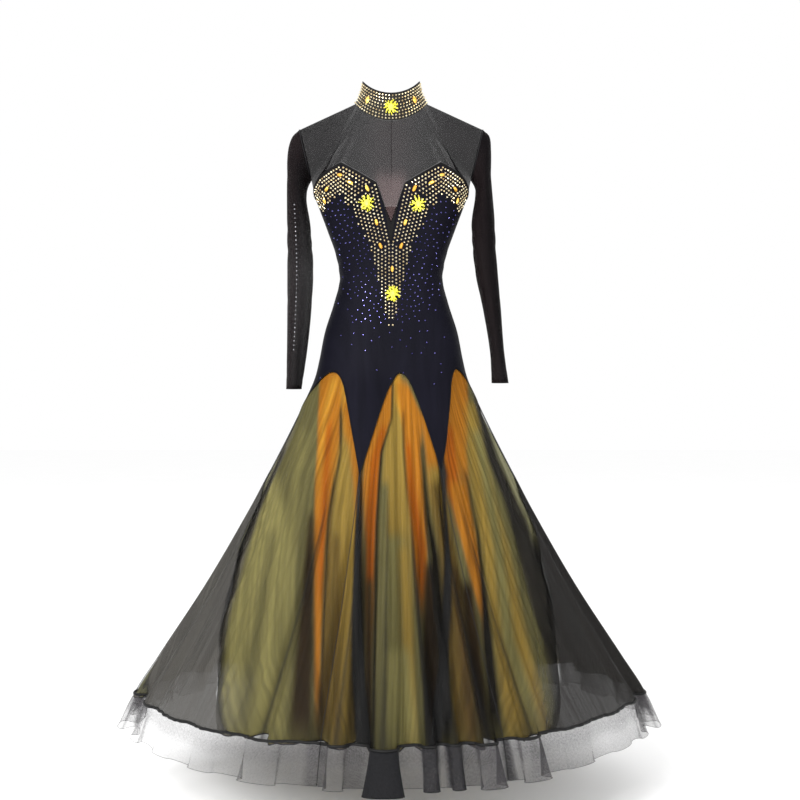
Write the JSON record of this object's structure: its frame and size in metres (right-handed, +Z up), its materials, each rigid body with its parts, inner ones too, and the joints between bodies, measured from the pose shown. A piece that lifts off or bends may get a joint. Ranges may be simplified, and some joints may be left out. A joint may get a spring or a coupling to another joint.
{
  "type": "ballroom dance dress",
  "caption": "Long-sleeved ballroom dance dress with a stand collar, sheer yoke, stoned sweetheart bodice, two-tone organza godets, sheer overlay and stiff net hem.",
  "frame": {"origin": "centre of the neck base between the shoulders, where the wearer holds the dress up", "axes": "+Z up, +X to the viewer's right when the front is seen, the front faces -Y"},
  "size_m": [1.1493, 1.1945, 1.3685],
  "materials": {
    "collar": "black stretch cloth set closely with gold stones",
    "sheer_mesh": "sheer black stretch mesh",
    "binding": "matte black elastic binding",
    "stretch_cloth": "navy-black stretch cloth with a soft sheen",
    "orange_organza": "orange organza turning olive towards the hem",
    "black_organza": "sheer black organza with a corded hem",
    "horsehair_net": "stiff open net band",
    "large_stone": "bright yellow cut stone"
  },
  "bodies": {
    "root": {"collar": "collar", "yoke_front": "sheer_mesh", "yoke_back_left": "sheer_mesh", "yoke_back_right": "sheer_mesh", "sleeve_left": "sheer_mesh", "sleeve_right": "sheer_mesh", "neckline_binding": "binding", "bodice_front": "stretch_cloth", "bodice_back_left": "stretch_cloth", "bodice_back_right": "stretch_cloth", "godet_front": "orange_organza", "godet_front_right": "orange_organza", "godet_back_right": "orange_organza", "godet_back": "orange_organza", "godet_back_left": "orange_organza", "godet_front_left": "orange_organza", "overlay_front": "black_organza", "overlay_front_right": "black_organza", "overlay_back_right": "black_organza", "overlay_back": "black_organza", "overlay_back_left": "black_organza", "overlay_front_left": "black_organza", "hem_band_front": "horsehair_net", "hem_band_front_right": "horsehair_net", "hem_band_back_right": "horsehair_net", "hem_band_back": "horsehair_net", "hem_band_back_left": "horsehair_net", "hem_band_front_left": "horsehair_net", "stone_collar": "large_stone", "stone_bust_left": "large_stone", "stone_bust_right": "large_stone", "stone_waist": "large_stone"}
  },
  "joints": []
}
